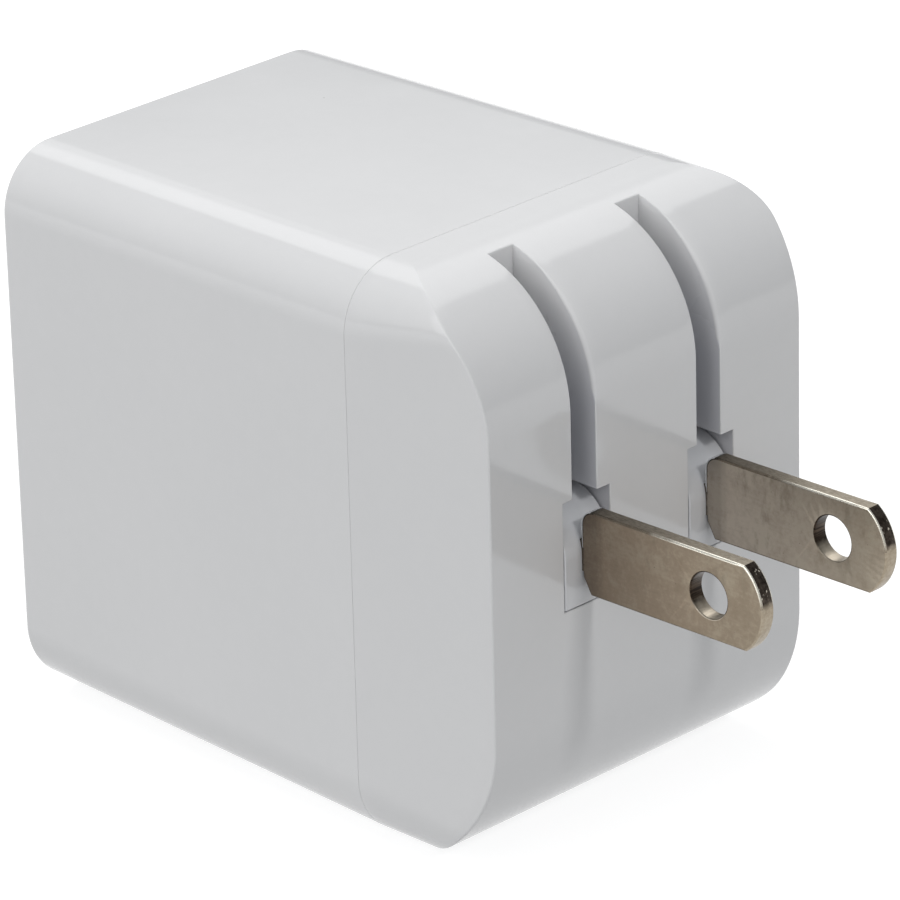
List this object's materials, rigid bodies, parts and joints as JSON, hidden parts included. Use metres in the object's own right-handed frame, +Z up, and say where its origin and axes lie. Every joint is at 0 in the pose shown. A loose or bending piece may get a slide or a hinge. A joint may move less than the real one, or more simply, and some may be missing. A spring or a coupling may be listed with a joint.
{
  "type": "laptop power adapter",
  "caption": "Cube-shaped white wall-plug laptop power adapter with two folding flat blades on a hinged rotor, round-nosed front cap with storage slots, and a USB-C outlet at the back",
  "frame": {"origin": "Bottom centre of the bounding box of the whole adapter with its blades folded out", "axes": "+X the way the blades point and the longest side, +Z up, Y across the two blades"},
  "size_m": [0.0654, 0.035, 0.0443],
  "materials": {
    "white_shell": "glossy white polycarbonate",
    "white_hub": "glossy white polycarbonate",
    "nickel_blade": "nickel plate on brass, fine brushed, worn edges",
    "black_plastic": "black moulded nylon",
    "zinc_steel": "zinc plated",
    "bronze_leaf": "phosphor bronze strip",
    "spring_steel": "stainless strip",
    "board_green": "glass-epoxy board with green mask",
    "port_steel": "nickel plated drawn steel",
    "gold_contact": "gold flash",
    "liner_film": "polycarbonate film",
    "grey_box": "grey potted box",
    "ferrite": "ground ferrite",
    "copper_wire": "enamelled copper",
    "black_epoxy": "moulded epoxy",
    "blue_epoxy": "dipped epoxy",
    "green_epoxy": "dipped epoxy",
    "fuse_ceramic": "ceramic tube",
    "yellow_tape": "polyester tape",
    "capacitor_sleeve": "aluminium can in a dark sleeve",
    "capacitor_can": "bare aluminium can",
    "spreader_aluminium": "rolled sheet",
    "pad_silicone": "soft silicone"
  },
  "bodies": {
    "housing": {"rear_housing": "white_shell", "front_cap": "white_shell", "prong_retainer": "black_plastic", "retainer_screws": "zinc_steel", "contact_line": "bronze_leaf", "contact_neutral": "bronze_leaf", "detent_spring": "spring_steel", "main_pcb": "board_green", "emi_board": "board_green", "usb_board": "board_green", "usb_c_shell": "port_steel", "usb_c_tongue": "black_plastic", "usb_c_contacts": "gold_contact", "insulating_liner": "liner_film", "x_capacitor": "grey_box", "choke_core": "ferrite", "choke_base": "black_plastic", "choke_windings": "copper_wire", "bridge_rectifier": "black_epoxy", "varistor": "blue_epoxy", "ntc_thermistor": "green_epoxy", "fuse": "fuse_ceramic", "drum_inductor_core": "ferrite", "drum_inductor_winding": "copper_wire", "transformer_core": "ferrite", "transformer_bobbin": "black_plastic", "transformer_winding": "copper_wire", "transformer_tape": "yellow_tape", "bulk_capacitor_left": "capacitor_sleeve", "bulk_capacitor_right": "capacitor_sleeve", "output_capacitors": "capacitor_can", "optocoupler": "black_epoxy", "y_capacitor": "blue_epoxy", "primary_switch": "black_epoxy", "pwm_controller": "black_epoxy", "sync_rectifier": "black_epoxy", "pd_controller": "black_epoxy", "heat_spreader": "spreader_aluminium", "thermal_pad": "pad_silicone"},
    "prong_rotor": {"prong_hub": "white_hub", "blade_line": "nickel_blade", "blade_neutral": "nickel_blade"}
  },
  "joints": [
    {"name": "prong_fold", "type": "hinge", "parent": "housing", "child": "prong_rotor", "pos_m": [0.01185, 0, 0.0232], "axis": [0, -1, 0], "range_deg": [0, 90], "deforming": ["detent_spring"]}
  ]
}
